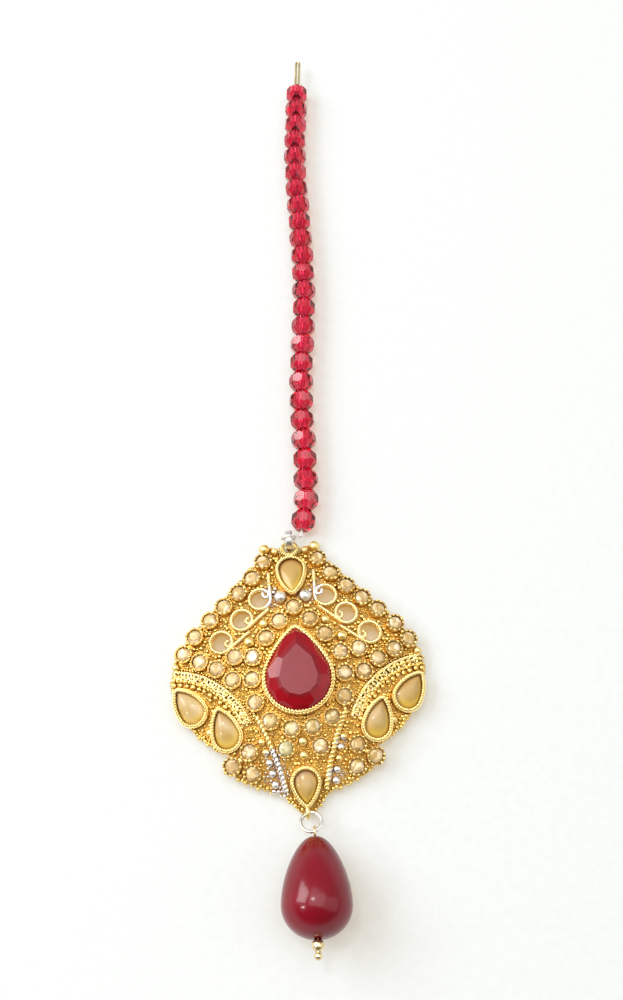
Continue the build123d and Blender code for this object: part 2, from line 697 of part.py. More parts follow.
whole = Compound(list(nodes.values())).bounding_box()
to_origin = Pos(-whole.center().X, -whole.center().Y, -whole.min.Z)
print("whole", whole, "shift", to_origin.position)
os.makedirs("parts", exist_ok=True)
for name, solid in nodes.items():
    export_step(to_origin * solid, f"parts/{name}.step")
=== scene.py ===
from math import cos, hypot, pi, radians, sin, sqrt, tau

import bpy
import numpy as np
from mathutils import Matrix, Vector


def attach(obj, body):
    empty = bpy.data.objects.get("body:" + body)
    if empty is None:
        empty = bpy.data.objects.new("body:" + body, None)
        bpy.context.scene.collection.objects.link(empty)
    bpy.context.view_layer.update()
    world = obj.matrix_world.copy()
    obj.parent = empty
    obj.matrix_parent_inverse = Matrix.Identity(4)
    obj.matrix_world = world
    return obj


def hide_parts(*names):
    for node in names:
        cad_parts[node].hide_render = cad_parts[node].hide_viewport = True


# A maang tikka: a gilt pendant set with stones, hung on a string of red glass beads, with a drop.
# It lies face up. Blender's own unit is the metre; the pieces' sizes below are in millimetres.

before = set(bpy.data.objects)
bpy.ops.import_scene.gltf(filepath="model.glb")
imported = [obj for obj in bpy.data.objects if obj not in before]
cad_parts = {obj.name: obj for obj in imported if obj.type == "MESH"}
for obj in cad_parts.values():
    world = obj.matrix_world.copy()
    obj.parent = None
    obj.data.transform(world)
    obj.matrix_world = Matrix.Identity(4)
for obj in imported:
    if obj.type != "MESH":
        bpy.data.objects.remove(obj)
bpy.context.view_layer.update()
MM = 0.001

# ---------------------------------------------------------------- surface, light and camera
# The jewel lies on a pale, softly lit sheet under a large window light on its left, with a wide
# overhead light, a weak fill on the right and two small lamps that put sparks on glass and metal.
# The room is pale low down all round, and darker above on the near side.
# The sheet glows a little, and near the jewel the glow is warm, so that its shade is painted warm.
# Under the pendant the glow is orange: painted light, as if bounced off the gilt above.

PENDANT = (-0.0204, -38.7957, 0.0149)   # the pendant's centre in the row frame
SHEET_HALF = 3.0
CAMERA_PLACE = (2.01, -79.6, 173.5)
CAMERA_DIP = 21.95          # degrees off straight down
CAMERA_LENS = 41.4
SENSOR = 36.0
SOFT_LIGHTS = (             # name, place in metres, width, height, watts
    ("window", (-0.46, 0.16, 0.40), 0.42, 0.36, 3.35),
    ("overhead", (0.02, 0.12, 0.85), 0.80, 0.80, 3.9),
    ("fill", (0.50, -0.10, 0.46), 0.55, 0.55, 0.75),
    ("near_lamp", (-0.117, 0.075, 0.58), 0.06, 0.06, 0.45),
    ("far_lamp", (-0.416, -0.218, 0.416), 0.06, 0.06, 0.45),
)
SHEET_GLOW = (              # metres from the middle, and the light that comes up through the sheet: warm near the middle, as painted warm shade
    (0.13, (0.40, 0.32, 0.195)), (0.30, (0.52, 0.49, 0.44)),
    (0.60, (0.80, 0.79, 0.77)), (1.0, (0.87, 0.87, 0.86)),
)
GILT_BOUNCE_REACH = (13.8 * MM, 15.6 * MM)     # the sheet's glow is painted as light bounced off the gilt this near the pendant's centre
DARK_NEAR = (-0.55, 0.05)   # the room turns dark between these towards the near side,
DARK_ABOVE = (0.14, 0.35)   # and between these upwards
DARK_SHARE = 0.9            # how dark at most


def new_material(name):
    """Material with a Principled shader: (material, its nodes, its links, the shader)."""
    material = bpy.data.materials.new(name)
    material.use_nodes = True
    tree = material.node_tree
    return material, tree.nodes, tree.links, tree.nodes["Principled BSDF"]


def object_noise(nodes, links, scale, detail=3.0):
    """Noise over Object coordinates, `scale` waves to the metre."""
    place = nodes.new("ShaderNodeTexCoord")
    noise = nodes.new("ShaderNodeTexNoise")
    noise.inputs["Scale"].default_value = scale
    noise.inputs["Detail"].default_value = detail
    links.new(place.outputs["Object"], noise.inputs["Vector"])
    return noise.outputs["Fac"]


def ramp(nodes, links, source, stops):
    """Colour ramp of (position, (r, g, b)) stops driven by `source`."""
    node = nodes.new("ShaderNodeValToRGB")
    elements = node.color_ramp.elements
    while len(elements) < len(stops):
        elements.new(1.0)
    for element, (position, colour) in zip(elements, stops):
        element.position = position
        element.color = (*colour, 1.0)
    links.new(source, node.inputs["Fac"])
    return node.outputs["Color"]


def bump(nodes, links, shader, height, strength, depth):
    """Bumps the shader's normal by `height`, `depth` metres high."""
    node = nodes.new("ShaderNodeBump")
    node.inputs["Strength"].default_value = strength
    node.inputs["Distance"].default_value = depth
    links.new(height, node.inputs["Height"])
    links.new(node.outputs["Normal"], shader.inputs["Normal"])


def between(nodes, links, source, low, high, out_low=0.0, out_high=1.0):
    """Maps `source` smoothly from one range onto another, held at the ends."""
    node = nodes.new("ShaderNodeMapRange")
    node.interpolation_type = "SMOOTHSTEP"
    node.inputs["From Min"].default_value = low
    node.inputs["From Max"].default_value = high
    node.inputs["To Min"].default_value = out_low
    node.inputs["To Max"].default_value = out_high
    links.new(source, node.inputs["Value"])
    return node.outputs["Result"]


def mix_colour(nodes, links, share, first, second):
    """Mix of two colour outputs by a share, an output or a number."""
    node = nodes.new("ShaderNodeMix")
    node.data_type = "RGBA"
    if isinstance(share, float):
        node.inputs["Factor"].default_value = share
    else:
        links.new(share, node.inputs["Factor"])
    links.new(first, node.inputs["A"])
    links.new(second, node.inputs["B"])
    return node.outputs["Result"]


def combined(nodes, links, operation, first, second):
    """Two outputs put together by a math operation."""
    node = nodes.new("ShaderNodeMath")
    node.operation = operation
    links.new(first, node.inputs[0])
    links.new(second, node.inputs[1])
    return node.outputs[0]


def distance_to(nodes, links, centre):
    """Distance in metres from a place in the row frame, given in millimetres."""
    place = nodes.new("ShaderNodeTexCoord")
    distance = nodes.new("ShaderNodeVectorMath")
    distance.operation = "DISTANCE"
    distance.inputs[1].default_value = np.asarray(centre) * MM
    links.new(place.outputs["Object"], distance.inputs[0])
    return distance.outputs["Value"]


def polish(shader, roughness, refraction, coat=0.0, coat_roughness=0.03):
    """Polished glass: how rough it is, its refractive index, and the clear coat over it."""
    shader.inputs["Roughness"].default_value = roughness
    shader.inputs["IOR"].default_value = refraction
    shader.inputs["Coat Weight"].default_value = coat
    shader.inputs["Coat Roughness"].default_value = coat_roughness


paper, nodes, links, shader = new_material("pale_sheet")
fibre = object_noise(nodes, links, 900.0, 6.0)
# The bluish base balances the warm glow, so the lit sheet is white and only its shade is warmed.
links.new(ramp(nodes, links, fibre, ((0.3, (0.36, 0.43, 0.505)), (0.7, (0.385, 0.455, 0.53)))),
          shader.inputs["Base Color"])
# Painted warm shade: the sheet's glow is warm near the middle.
glow = ramp(nodes, links, distance_to(nodes, links, (0.0, 0.0, 0.0)), SHEET_GLOW)
# Painted bounce light: under the pendant the glow turns orange, as if from the gilt above.
gilt_bounce_share = between(nodes, links, distance_to(nodes, links, PENDANT), *GILT_BOUNCE_REACH, 1.0, 0.0)
painted_gilt_bounce = ramp(nodes, links, fibre, ((0.3, (0.41, 0.235, 0.055)), (0.7, (0.43, 0.25, 0.065))))
links.new(mix_colour(nodes, links, gilt_bounce_share, glow, painted_gilt_bounce), shader.inputs["Emission Color"])
shader.inputs["Emission Strength"].default_value = 1.0
shader.inputs["Roughness"].default_value = 0.9
bump(nodes, links, shader, fibre, 0.15, 0.00005)

sheet_mesh = bpy.data.meshes.new("sheet")
corners = [(-SHEET_HALF, -SHEET_HALF, 0), (SHEET_HALF, -SHEET_HALF, 0),
           (SHEET_HALF, SHEET_HALF, 0), (-SHEET_HALF, SHEET_HALF, 0)]
sheet_mesh.from_pydata(corners, [], [(0, 1, 2, 3)])
sheet_mesh.materials.append(paper)
sheet = bpy.data.objects.new("sheet", sheet_mesh)
bpy.context.scene.collection.objects.link(sheet)

for name, place, width, height, watts in SOFT_LIGHTS:
    lamp = bpy.data.lights.new(name, "AREA")
    lamp.shape = "RECTANGLE"
    lamp.size, lamp.size_y = width, height
    lamp.energy = watts
    holder = bpy.data.objects.new(name, lamp)
    holder.location = place
    holder.rotation_euler = (-Vector(place)).to_track_quat("-Z", "Y").to_euler()
    bpy.context.scene.collection.objects.link(holder)

world = bpy.data.worlds.new("pale_room")
world.use_nodes = True
nodes, links = world.node_tree.nodes, world.node_tree.links
direction = nodes.new("ShaderNodeSeparateXYZ")
links.new(nodes.new("ShaderNodeTexCoord").outputs["Generated"], direction.inputs["Vector"])
sky = ramp(nodes, links, direction.outputs["Z"], (
    (0.0, (0.97, 0.97, 0.955)), (0.10, (0.88, 0.88, 0.86)),
    (0.28, (0.50, 0.50, 0.49)), (1.0, (0.42, 0.42, 0.41)),
))
near_side = combined(nodes, links, "MULTIPLY",
                     between(nodes, links, direction.outputs["Y"], *DARK_NEAR, DARK_SHARE, 0.0),
                     between(nodes, links, direction.outputs["Z"], *DARK_ABOVE))
dark = nodes.new("ShaderNodeRGB")
dark.outputs[0].default_value = (0.17, 0.14, 0.10, 1.0)
links.new(mix_colour(nodes, links, near_side, sky, dark.outputs[0]), nodes["Background"].inputs["Color"])
bpy.context.scene.world = world
bpy.context.scene.view_settings.view_transform = "Standard"

camera_data = bpy.data.cameras.new("camera")
camera_data.lens = CAMERA_LENS
camera_data.sensor_width = SENSOR
camera_data.clip_start = 0.01
camera = bpy.data.objects.new("camera", camera_data)
camera.location = Vector(CAMERA_PLACE) * MM
camera.rotation_euler = (radians(CAMERA_DIP), 0.0, 0.0)
bpy.context.scene.collection.objects.link(camera)
bpy.context.scene.camera = camera

# ---------------------------------------------------------------- domed pendant mount
# The mount is gilt brass: a pierced domed plate with cups, bezels, scrolls and balls soldered on.
# Its colour carries painted light: a pale highlight on what stands out, dark orange shade in the hollows
# and crevices with some tarnish there, and a bright underside seen through the gaps. It is worn to
# silver where the plate has been handled most.

PENDANT_LEAN = radians(4.2)
DOME_R = 70.0
DOME_TOP = 3.55
DOME_CENTRE_Z = DOME_TOP - DOME_R
CREVICE_REACH = 0.9         # mm, how far a neighbour still shades the gilding
CREVICE_SAMPLES = 6
# Colours painted into crevices: shade, with some tarnish.
CREVICE_DARK = (0.38, 0.17, 0.03)
CREVICE_WARM = (0.56, 0.28, 0.055)
CREVICE_OPEN = (0.10, 0.56)     # shares of open air between which the painted crevice shade fades
PALER_RANGE = (0.1, 0.9)    # heights over which a painted highlight makes the gilding paler, and by how much
PALER_SHARE = 0.45
WEAR_FADE = 0.15            # mm of height over which the worn patches fade in
WEAR_LIFT = 0.4             # height of a worn patch's centre
WEAR_CORE = 0.55            # share of its radius inside which it is worn most
WORN_PLACES = (             # pendant's x, y and the worn patch's radius
    (-1.90, 11.75, 1.7), (1.90, 11.75, 1.7), (-3.50, 11.90, 2.3), (3.40, 12.40, 1.9),
    (-4.30, -12.60, 2.0), (-4.10, -14.80, 2.3), (-3.70, -17.0, 1.7), (4.55, -15.40, 1.7),
    (5.60, -11.00, 1.2),
)


def to_row(points):
    """Points in the pendant's frame, mm, to the row frame: turned by its lean, then moved."""
    c, s = cos(PENDANT_LEAN), sin(PENDANT_LEAN)
    x, y, z = np.moveaxis(np.asarray(points, float), -1, 0)
    return np.stack([c * x - s * y, s * x + c * y, z], axis=-1) + PENDANT


def on_dome(x, y, lift=0.0):
    """Points and outward normals on the dome: the normal runs from its centre, the point is the
    normal times (radius + lift) from that centre."""
    x, y = np.broadcast_arrays(np.asarray(x, float), np.asarray(y, float))
    out = np.stack([x, y, np.sqrt(DOME_R**2 - x**2 - y**2)], axis=-1) / DOME_R
    return out * (DOME_R + np.asarray(lift)[..., None]) + (0, 0, DOME_CENTRE_Z), out


def wear(nodes, links):
    """Mask that is 1 inside each worn patch and fades to 0 at its edge."""
    patches = []
    for x, y, radius in WORN_PLACES:
        distance = distance_to(nodes, links, to_row(on_dome(x, y, WEAR_LIFT)[0]))
        patches.append(between(nodes, links, distance, radius * WEAR_CORE * MM, radius * MM, 1.0, 0.0))
    mask = patches[0]
    for patch in patches[1:]:
        mask = combined(nodes, links, "MAXIMUM", mask, patch)
    return mask


def gilding(name, stops, roughness, worn_above=None):
    """Gilt metal coloured by height over the dome, painted shade low down and painted highlight high
    up: `stops` are (height in mm, colour), lowest first. Crevices take painted shade with some
    tarnish. The worn patches show only above `worn_above`."""
    material, nodes, links, shader = new_material(name)
    height = distance_to(nodes, links, to_row((0.0, 0.0, DOME_CENTRE_Z)))
    low, high = stops[0][0], stops[-1][0]
    share = nodes.new("ShaderNodeMapRange")
    share.inputs["From Min"].default_value = (DOME_R + low) * MM
    share.inputs["From Max"].default_value = (DOME_R + high) * MM
    links.new(height, share.inputs["Value"])
    gold = ramp(nodes, links, share.outputs["Result"],
                [((level - low) / (high - low), colour) for level, colour in stops])
    patches = object_noise(nodes, links, 420.0, 4.0)
    paler = ramp(nodes, links, patches, ((0.35, (0.94, 0.65, 0.17)), (0.7, (1.0, 0.88, 0.46))))
    # Painted highlight: higher up the gilding turns paler.
    pale_from, pale_to = [(DOME_R + level) * MM for level in PALER_RANGE]
    painted_highlight_share = between(nodes, links, height, pale_from, pale_to, 0.0, PALER_SHARE)
    colour = mix_colour(nodes, links, painted_highlight_share, gold, paler)
    if worn_above is not None:
        bare = ramp(nodes, links, patches, ((0.3, (0.80, 0.78, 0.76)), (0.7, (0.98, 0.97, 0.96))))
        worn_from = DOME_R + worn_above
        raised = between(nodes, links, height, worn_from * MM, (worn_from + WEAR_FADE) * MM)
        share = combined(nodes, links, "MULTIPLY", wear(nodes, links), raised)
        colour = mix_colour(nodes, links, share, colour, bare)
    # Crevices, found by how open each point is to the air, are darkened with painted shade and some
    # tarnish.
    open_to_air = nodes.new("ShaderNodeAmbientOcclusion")
    open_to_air.samples = CREVICE_SAMPLES
    open_to_air.inputs["Distance"].default_value = CREVICE_REACH * MM
    crevice_shade_and_tarnish = ramp(nodes, links, patches, ((0.3, CREVICE_DARK), (0.7, CREVICE_WARM)))
    crevice = between(nodes, links, open_to_air.outputs["AO"], *CREVICE_OPEN, 1.0, 0.0)
    colour = mix_colour(nodes, links, crevice, colour, crevice_shade_and_tarnish)
    links.new(colour, shader.inputs["Base Color"])
    shader.inputs["Metallic"].default_value = 1.0
    links.new(between(nodes, links, patches, 0.3, 0.7, roughness - 0.07, roughness + 0.1),
              shader.inputs["Roughness"])
    bump(nodes, links, shader, object_noise(nodes, links, 5200.0, 4.0), 0.35, 0.00004)
    return material


# Painted light by height: bright underside seen through the gaps, dark orange shade in the hollows, pale
# highlight on top.
mount_finish = gilding("gilt_mount", (
    (-0.90, (0.97, 0.80, 0.50)), (-0.40, (0.80, 0.55, 0.24)), (-0.08, (0.58, 0.33, 0.08)),
    (0.10, (0.66, 0.39, 0.075)), (0.45, (0.90, 0.62, 0.19)), (1.10, (1.0, 0.82, 0.36)),
), 0.36, worn_above=0.25)
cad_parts["pendant_mount"].material_slots[0].material = mount_finish

# ---------------------------------------------------------------- twisted wires round the stones
# Each pear bezel has a rope of two gilt wires, twisted together and soldered round its lip.

RUBY = (4.95, 0.6, 6.95)      # a pear: round end's radius, tip's radius, distance apart
LONG_PEAR = (1.93, 0.35, 3.7)
MID_PEAR = (2.0, 0.35, 3.8)
SHORT_PEAR = (1.85, 0.35, 2.9)
FLANK_RATIO = 3.0
PEARS = (                   # name, round end's x, y, direction of the tip, sizes, bezel's rise
    ("ruby", 0.0, -1.4, 90.0, RUBY, 1.9),
    ("top", 0.0, 16.25, -90.0, MID_PEAR, 1.1),
    ("bottom", 0.0, -16.10, -90.0, SHORT_PEAR, 1.1),
    ("right_outer", 15.90, -4.80, 54.0, LONG_PEAR, 1.1),
    ("right_inner", 10.95, -8.85, 74.0, LONG_PEAR, 1.1),
    ("left_outer", -15.90, -4.80, 126.0, LONG_PEAR, 1.1),
    ("left_inner", -10.95, -8.85, 106.0, LONG_PEAR, 1.1),
)
# Painted light by height: darker low down as shade, paler high up as highlight.
rope_finish = gilding("gilt_rope", (
    (0.10, (0.72, 0.45, 0.11)), (0.45, (0.97, 0.74, 0.29)), (1.60, (1.0, 0.83, 0.40)),
), 0.30, worn_above=0.0)


def around(a):
    """Points (cos a, sin a) of the unit circle."""
    return np.stack([np.cos(a), np.sin(a)], axis=-1)


def grid_faces(rows, columns, rows_closed=False):
    """Four-cornered faces of a grid whose columns close on themselves."""
    r, c = np.meshgrid(np.arange(rows if rows_closed else rows - 1), np.arange(columns), indexing="ij")
    down, across = (r + 1) % rows, (c + 1) % columns
    corners = [r * columns + c, r * columns + across, down * columns + across, down * columns + c]
    return np.stack(corners, axis=-1).reshape(-1, 4).tolist()


def new_piece(name, points, faces, finish, smooth=True):
    """Mesh object from points in the row frame, mm, which rides on the part's one body."""
    mesh = bpy.data.meshes.new(name)
    mesh.from_pydata((np.asarray(points) * MM).tolist(), [], faces)
    mesh.polygons.foreach_set("use_smooth", [smooth] * len(mesh.polygons))
    mesh.materials.append(finish)
    mesh.update()
    made = bpy.data.objects.new(name, mesh)
    bpy.context.scene.collection.objects.link(made)
    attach(made, "root")
    return made


def joined(parts):
    """One list of points and one of faces from several (points, faces)."""
    points, faces, start = [], [], 0
    for some_points, some_faces in parts:
        points.append(some_points)
        faces += [[corner + start for corner in face] for face in some_faces]
        start += len(some_points)
    return np.concatenate(points), faces


def tube(path, out, radius, sides, closed):
    """Round section carried along a path: each ring is centre + radius times (cos a of the normal
    + sin a of the binormal), and the binormal is tangent x normal."""
    ahead = np.roll(path, -1, axis=0) - np.roll(path, 1, axis=0)
    if not closed:
        ahead[0], ahead[-1] = path[1] - path[0], path[-1] - path[-2]
    ahead /= np.linalg.norm(ahead, axis=-1, keepdims=True)
    side = np.cross(ahead, out)
    side /= np.linalg.norm(side, axis=-1, keepdims=True)
    up = np.cross(side, ahead)
    a = np.linspace(0, tau, sides, endpoint=False)[None, :, None]
    radius = np.broadcast_to(np.asarray(radius, float), len(path))[:, None, None]
    points = path[:, None] + radius * (np.cos(a) * up[:, None] + np.sin(a) * side[:, None])
    faces = grid_faces(len(path), sides, closed)
    if not closed:
        last = (len(path) - 1) * sides
        faces += [list(range(sides))[::-1], list(range(last, last + sides))]
    return points.reshape(-1, 3), faces


def evenly(path, step, closed):
    """The same path with points `step` apart along it."""
    if closed:
        path = np.vstack([path, path[:1]])
    along = np.concatenate([[0], np.cumsum(np.linalg.norm(np.diff(path, axis=0), axis=1))])
    count = max(4, round(along[-1] / step))
    at = np.linspace(0, along[-1], count + 1)
    if closed:
        at = at[:-1]
    return np.stack([np.interp(at, along, column) for column in path.T], axis=-1)


STRANDS = 2
STRAND_SIDES = 6
STEPS_A_TURN = 10


def twist(path, out, strand, lay, pitch, closed):
    """Strands wound round a path: each one's middle is path + lay times (cos, sin) of a turn that
    grows evenly along it, and the strands start evenly apart."""
    length = np.linalg.norm(np.diff(path, axis=0), axis=1).sum()
    turns = max(1, round(length / pitch))
    stacked = evenly(np.hstack([path, out]), length / (turns * STEPS_A_TURN), closed)
    path, out = stacked[:, :3], stacked[:, 3:]
    ahead = np.gradient(path, axis=0)
    ahead /= np.linalg.norm(ahead, axis=-1, keepdims=True)
    side = np.cross(ahead, out)
    share = np.arange(len(path)) / (len(path) if closed else len(path) - 1)
    parts = []
    for number in range(STRANDS):
        a = (tau * turns * share + tau * number / STRANDS)[:, None]
        middle = path + lay * (np.cos(a) * out + np.sin(a) * side)
        parts.append(tube(middle, out, strand, STRAND_SIDES, closed))
    return joined(parts)


ARC_POINTS = 100            # in each of a pear's four arcs


def pear_outline(pear, grow):
    """Pear outline, round end at the origin and tip towards +x: round end, flank arc, tip and
    flank arc again, each arc a centre plus its radius times (cos, sin)."""
    end, tip, apart = pear
    flank = FLANK_RATIO * end
    cx = ((flank - end)**2 - (flank - tip)**2 + apart**2) / (2 * apart)
    cy = -sqrt((flank - end)**2 - cx**2)
    at_end = np.arctan2(-cy, -cx)
    at_tip = np.arctan2(-cy, apart - cx)

    def arc(x, y, radius, start, stop):
        a = np.linspace(start, stop, ARC_POINTS, endpoint=False)
        return (x, y) + (radius + grow) * around(a)

    return np.vstack([
        arc(0, 0, end, at_end, tau - at_end),
        arc(cx, -cy, flank, -at_end, -at_tip),
        arc(apart, 0, tip, -at_tip, at_tip),
        arc(cx, cy, flank, at_tip, at_end),
    ])


def seat(x, y, turn, flat, lift):
    """Flat points (u, v) laid on the dome's tangent plane at (x, y), u turned `turn` degrees in
    plan; `lift` is the height over the dome. Gives the points and the plane's normal."""
    place, out = on_dome(x, y)
    along = np.array([cos(radians(turn)), sin(radians(turn)), 0.0])
    along -= out * along.dot(out)
    along /= np.linalg.norm(along)
    side = np.cross(out, along)
    flat = np.asarray(flat)
    points = place + flat[..., :1] * along + flat[..., 1:2] * side + np.asarray(lift)[..., None] * out
    return points, np.broadcast_to(out, points.shape)


ROPES = {"ruby": (0.18, 0.15, 1.05), "other": (0.155, 0.13, 0.82)}   # strand, lay, pitch
ROPE_OUT = 0.13             # from the pear's outline to the rope's middle
ROPE_SPACING = 0.08         # between the outline's points
for name, x, y, turn, pear, rise in PEARS:
    strand, lay, pitch = ROPES.get(name, ROPES["other"])
    outline = evenly(pear_outline(pear, ROPE_OUT), ROPE_SPACING, True)
    path, out = seat(x, y, turn, outline, np.full(len(outline), rise))
    points, faces = twist(path, out, strand, lay, pitch, closed=True)
    new_piece(f"{name}_bezel_rope", to_row(points), faces, rope_finish)

# ---------------------------------------------------------------- scrolls
# Three pairs of twisted-wire scrolls run down the shoulders. Each has a straight stem that swings
# round an open eye and curls in on itself, with a grain at its end.

SCROLLS = (                 # eye's x, y, eye's radius, direction of the stem, stem's length
    (5.05, 11.75, 1.65, -92.0, 4.3),
    (8.00, 8.60, 1.62, -40.0, 4.1),
    (11.30, 5.35, 1.68, -37.0, 4.3),
)
SCROLL_LIFT = 0.48
SCROLL_ROPE = (0.175, 0.13, 0.70)   # strand, lay, pitch
SCROLL_SWING = radians(325)  # round the eye before it turns in
HOOK_R = 0.48
HOOK_SWING = radians(235)
STEM_POINTS, SWING_POINTS, HOOK_POINTS = 30, 110, 50
SCROLL_TIP_R = 0.27
# Painted light by height: darker low down as shade, paler high up as highlight.
pale_finish = gilding("pale_gilt", (
    (0.10, (0.80, 0.55, 0.18)), (0.45, (1.0, 0.84, 0.44)), (1.20, (1.0, 0.92, 0.60)),
), 0.30, worn_above=0.0)


def scroll_path(x, y, eye, heading, stem):
    """Stem along its heading, most of a circle, then a small hook that touches it from inside:
    each stretch is a straight run or a centre plus a radius times (cos, sin)."""
    heading = radians(heading)
    start = heading - pi / 2
    touch = np.array([x + eye * cos(start), y + eye * sin(start)])
    along = np.array([cos(heading), sin(heading)])
    run = touch + np.linspace(-stem, 0, STEM_POINTS, endpoint=False)[:, None] * along
    swing = start + np.linspace(0, SCROLL_SWING, SWING_POINTS, endpoint=False)
    loop = (x, y) + eye * around(swing)
    turn_in = start + SCROLL_SWING
    inner = eye - HOOK_R
    hook = turn_in + np.linspace(0, HOOK_SWING, HOOK_POINTS)
    curl = (x + inner * cos(turn_in), y + inner * sin(turn_in)) + HOOK_R * around(hook)
    return np.vstack([run, loop, curl])


def flipped(path):
    """The same plan path on the pendant's left."""
    return path * (-1, 1)


def ball(rings, sides):
    """Unit ball: rings of latitude from pole to pole, each ring a circle; poles are points."""
    lat = np.linspace(-pi / 2, pi / 2, rings + 2)[1:-1, None]
    lon = np.linspace(0, tau, sides, endpoint=False)[None, :]
    across = np.cos(lat)
    body = np.broadcast_arrays(across * np.cos(lon), across * np.sin(lon), np.sin(lat))
    points = np.vstack([np.stack(body, axis=-1).reshape(-1, 3), (0, 0, -1), (0, 0, 1)])
    faces = grid_faces(rings, sides)
    top = (rings - 1) * sides
    faces += [[(k + 1) % sides, k, rings * sides] for k in range(sides)]
    faces += [[top + k, top + (k + 1) % sides, rings * sides + 1] for k in range(sides)]
    return points, faces


def many_balls(centres, radii, rings=4, sides=7):
    """A small ball at each centre, as one mesh."""
    unit, unit_faces = ball(rings, sides)
    centres = np.asarray(centres, float)
    radii = np.broadcast_to(np.asarray(radii, float), len(centres))
    points = centres[:, None] + radii[:, None, None] * unit
    starts = np.arange(len(centres)) * len(unit)
    faces = [[corner + start for corner in face] for start in starts.tolist() for face in unit_faces]
    return points.reshape(-1, 3), faces


for number, row in enumerate(SCROLLS, 1):
    for side, path in (("right", scroll_path(*row)), ("left", flipped(scroll_path(*row)))):
        points, out = on_dome(path[:, 0], path[:, 1], SCROLL_LIFT)
        tip = many_balls(points[-1:], SCROLL_TIP_R, rings=6, sides=10)
        wire = twist(points, out, *SCROLL_ROPE, closed=False)
        points, faces = joined([wire, tip])
        new_piece(f"scroll_{side}_{number}", to_row(points), faces, pale_finish)

# ---------------------------------------------------------------- granulated bands and ropes
# A band crosses each shoulder over the side stones, packed with looped wire and gold grains and
# edged by a twisted wire. A thicker rope runs down each side of the tip, beside a column of balls,
# and a thin one along the rim of each side lobe.

BAND_ARC = ((18.60, 0.95), (13.00, -1.15), (8.05, -7.50))
BAND_HALF = 0.62            # from its middle to its outer wire
BAND_POINTS = 120           # along an arc
BAND_ROPE = (0.16, 0.13, 0.90)
BAND_LIFT = 0.52
BAND_ROWS = (               # shift off the band's middle, radius, spacing, lift and scatter
    (-0.72, 0.30, 0.62, 0.46, 0.10), (0.05, 0.32, 0.52, 0.46, 0.16), (-1.25, 0.42, 0.98, 0.26, 0.06),
    (1.12, 0.23, 0.46, 0.18, 0.05),
)
BAND_LOOPS = (0.52, 1.06, 0.15, 0.58)    # loop's radius, pitch, wire's radius, lift
LOOPS_SHIFT = 0.05          # of the loops' middle line off the band's
GRAINS_DIFFER = (0.8, 1.15)     # smallest and largest in a row, as shares of its radius
ROPE_ARC = ((6.75, -6.10), (4.55, -11.20), (2.90, -17.30))
TIP_ROPE = (0.30, 0.26, 1.35)
TIP_ROPE_LIFT = 0.48
LOBE_ARC = ((19.25, 0.3), (16.95, -6.25), (10.85, -11.35))
LOBE_RIM_LIFT = 0.05
# Painted light by height: darker low down as shade, paler high up as highlight.
grain_finish = gilding("gilt_grains", (
    (0.0, (0.72, 0.44, 0.075)), (0.25, (1.0, 0.73, 0.21)), (1.20, (1.0, 0.84, 0.36)),
), 0.34, worn_above=0.0)


def arc_through(points, shift=0.0):
    """Arc through three points: the centre is where the chords' middle lines meet, and the angle
    runs evenly from the first point to the last. `shift` widens its radius."""
    (ax, ay), (bx, by), (cx, cy) = points
    d = 2 * (ax * (by - cy) + bx * (cy - ay) + cx * (ay - by))
    a2, b2, c2 = ax**2 + ay**2, bx**2 + by**2, cx**2 + cy**2
    ox = (a2 * (by - cy) + b2 * (cy - ay) + c2 * (ay - by)) / d
    oy = (a2 * (cx - bx) + b2 * (ax - cx) + c2 * (bx - ax)) / d
    angles = np.unwrap([np.arctan2(y - oy, x - ox) for x, y in points])
    a = np.linspace(angles[0], angles[2], BAND_POINTS)
    radius = hypot(ax - ox, ay - oy) + shift
    return (ox, oy) + radius * around(a)


def dome_rope(name, path, rope, lift):
    """Twisted rope laid along a plan path."""
    points, out = on_dome(path[:, 0], path[:, 1], lift)
    points, faces = twist(points, out, *rope, closed=False)
    new_piece(name, to_row(points), faces, rope_finish)


LOOP_STEPS = 14             # points to a loop
LOOP_WAVE = 0.08            # how far a loop rises and dips
LOOP_UNEVEN = 0.30          # share by which hand-bent loops differ in size
LOOP_DRIFT = (0.37, 0.61)   # waves to the loop in the two that make the sizes differ


def looped_wire(path, radius, pitch):
    """Plan path that runs in loops: a point on the path plus a radius times (cos, sin) of a turn
    that grows evenly along it; the radius drifts from loop to loop. Gives the turn too."""
    spots = evenly(path, pitch / LOOP_STEPS, False)
    turn = tau * np.arange(len(spots)) / LOOP_STEPS
    drift = np.sin(turn * LOOP_DRIFT[0] + 1.0) * np.cos(turn * LOOP_DRIFT[1])
    radius = radius * (1 + LOOP_UNEVEN * drift)
    return spots + radius[:, None] * around(turn), turn


